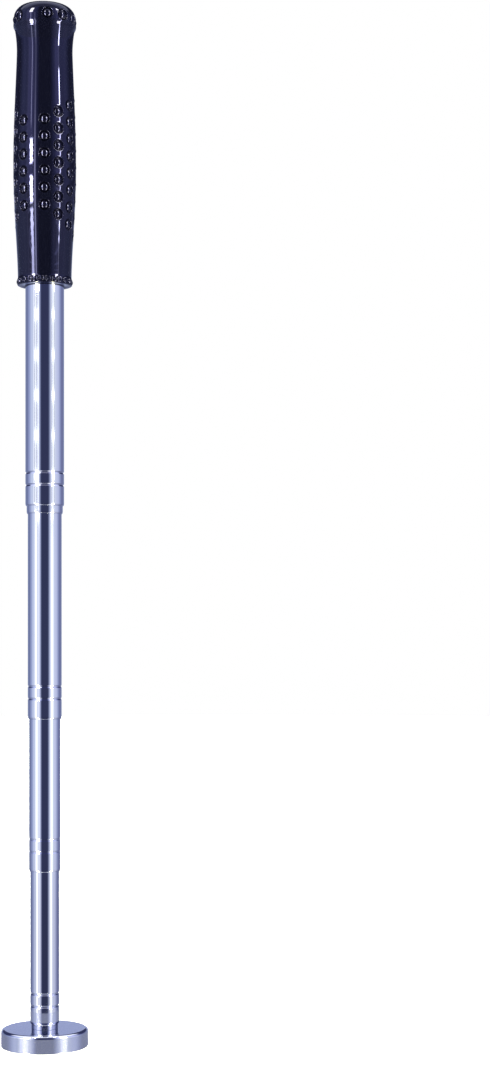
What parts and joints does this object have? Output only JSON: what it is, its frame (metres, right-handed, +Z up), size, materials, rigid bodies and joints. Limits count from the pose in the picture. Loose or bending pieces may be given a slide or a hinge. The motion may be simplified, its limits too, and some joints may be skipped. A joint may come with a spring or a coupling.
{
  "type": "telescopic magnetic pick-up tool",
  "caption": "Telescopic chromed bar on a round pot magnet, with rolled tube joints and a dotted soft vinyl grip; it draws in and out and swivels.",
  "frame": {"origin": "centre of the magnet's flat underside, on the surface that the tool stands on", "axes": "+Z up the tubes to the grip; -Y is the side that the smooth strip of the grip is nearest to, +X to its right"},
  "size_m": [0.036, 0.036, 0.4319],
  "materials": {
    "chromed_tube": "bright chrome plate on thin seamless steel tube",
    "chromed_cup": "bright chrome plate on pressed steel",
    "chromed_collar": "bright chrome plate on turned steel",
    "ferrite": "ground dark grey sintered ferrite",
    "resin": "cast black epoxy",
    "brass_sleeve": "drawn brass",
    "zinc_screw": "zinc plated",
    "spring_steel": "plain spring steel",
    "turned_steel": "turned mild steel",
    "spring_brass": "half-hard spring brass",
    "natural_nylon": "natural nylon",
    "black_plug": "moulded polyethylene",
    "soft_vinyl": "glossy soft navy-black vinyl with moulded dots"
  },
  "bodies": {
    "magnet_head": {"magnet_cup": "chromed_cup", "ring_magnet": "ferrite", "resin_ring": "resin", "centring_sleeve": "brass_sleeve", "centre_screw": "zinc_screw", "lock_washer": "spring_steel", "collar": "chromed_collar", "foot_insert": "turned_steel", "tube_4": "chromed_tube"},
    "shells_4": {"friction_shell_4_left": "spring_brass", "friction_shell_4_right": "spring_brass"},
    "section_3": {"tube_3": "chromed_tube"},
    "shells_3": {"friction_shell_3_left": "spring_brass", "friction_shell_3_right": "spring_brass"},
    "section_2": {"tube_2": "chromed_tube", "tail_plug": "natural_nylon"},
    "shells_2": {"friction_shell_2_left": "spring_brass", "friction_shell_2_right": "spring_brass"},
    "handle": {"tube_1": "chromed_tube", "mouth_bush": "natural_nylon", "tube_end_plug": "black_plug", "grip_sleeve": "soft_vinyl"}
  },
  "joints": [
    {"name": "low_swivel", "type": "hinge", "parent": "magnet_head", "child": "shells_4", "pos_m": [0, 0, 0.0888], "axis": [0, 0, 1], "continuous": true},
    {"name": "low_draw", "type": "slide", "parent": "shells_4", "child": "section_3", "axis": [0, 0, -1], "range_m": [0, 0.0585]},
    {"name": "middle_swivel", "type": "hinge", "parent": "section_3", "child": "shells_3", "pos_m": [0, 0, 0.1524], "axis": [0, 0, 1], "continuous": true},
    {"name": "middle_draw", "type": "slide", "parent": "shells_3", "child": "section_2", "axis": [0, 0, -1], "range_m": [0, 0.059]},
    {"name": "top_swivel", "type": "hinge", "parent": "section_2", "child": "shells_2", "pos_m": [0, 0, 0.2443], "axis": [0, 0, 1], "continuous": true},
    {"name": "top_draw", "type": "slide", "parent": "shells_2", "child": "handle", "axis": [0, 0, -1], "range_m": [0, 0.0805]}
  ]
}
